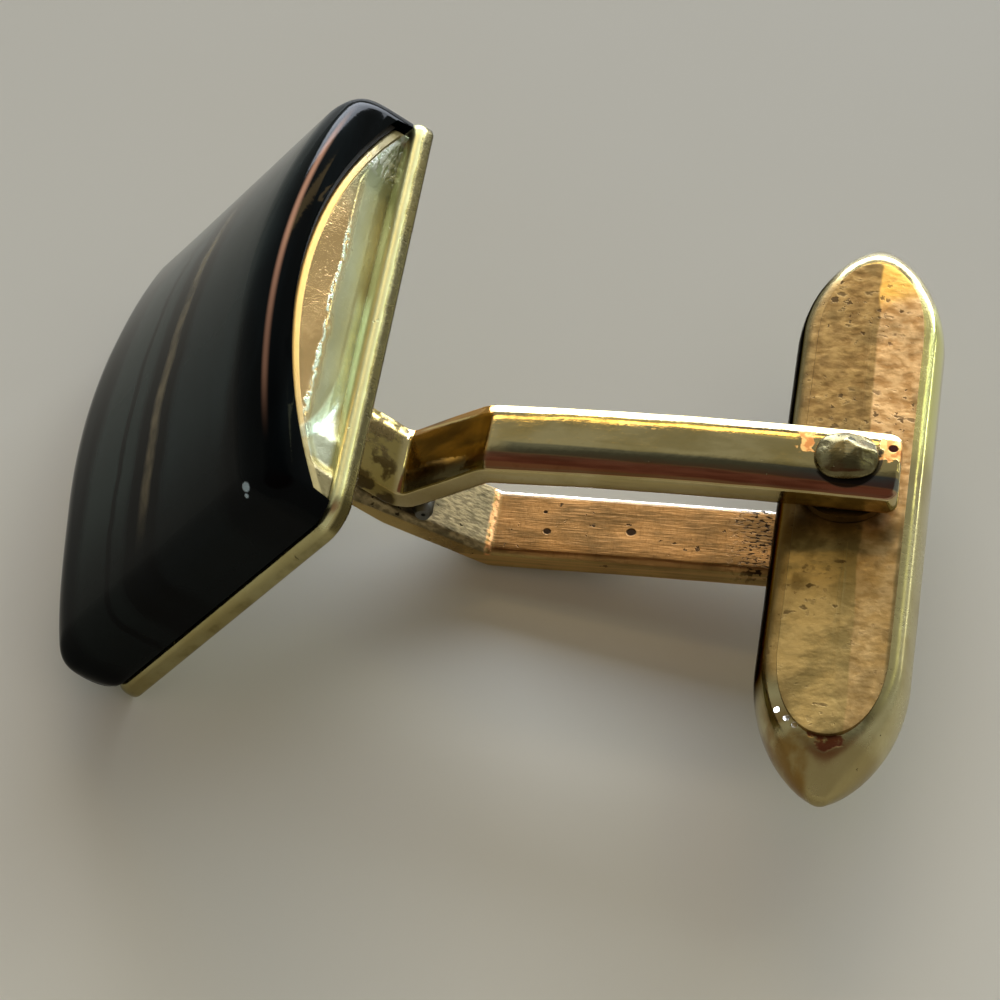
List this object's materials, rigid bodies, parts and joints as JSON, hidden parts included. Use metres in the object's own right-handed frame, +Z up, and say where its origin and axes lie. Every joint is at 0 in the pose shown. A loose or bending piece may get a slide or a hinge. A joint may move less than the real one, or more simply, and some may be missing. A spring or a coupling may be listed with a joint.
{
  "type": "cufflink",
  "caption": "Cufflink with a rectangular arched dark stone in a raised metal seat, an angled forked post and a bullet toggle that turns on a riveted pin.",
  "frame": {"origin": "centre of the bounding box's footprint, on the table the part lies on", "axes": "+X from the stone head towards the toggle, Y along the toggle, +Z up from the table; the part lies on its side on the back plate's lower edge and the bend of the lower arm"},
  "size_m": [0.0238, 0.02, 0.0105],
  "materials": {
    "dark_stone": "polished, banded",
    "cement": "dark cement",
    "gilt_seat": "polished gold plating",
    "gilt_plate": "polished gold plating",
    "gilt_arm": "polished gold plating, brushed by wear",
    "worn_arm": "plating worn to pitted copper tone",
    "solder": "dull grey solder",
    "pin_metal": "hammered nickel tone",
    "washer_metal": "tarnished",
    "toggle_gilt": "polished pale gold plating",
    "toggle_face": "matt worn plating with pits"
  },
  "bodies": {
    "head_and_post": {"stone": "dark_stone", "stone_cement": "cement", "seat_pan": "gilt_seat", "back_plate": "gilt_plate", "foot_solder": "solder", "upper_arm": "gilt_arm", "lower_arm": "worn_arm", "fork_solder": "solder", "pivot_pin": "pin_metal", "upper_washer": "washer_metal", "lower_washer": "washer_metal"},
    "toggle": {"toggle_shell": "toggle_gilt", "toggle_cover": "toggle_face", "toggle_bush": "washer_metal"}
  },
  "joints": [
    {"name": "toggle_swivel", "type": "hinge", "parent": "head_and_post", "child": "toggle", "pos_m": [0.00961, 0, 0.00305], "axis": [-0.0765, 0, 0.9971], "continuous": true}
  ]
}
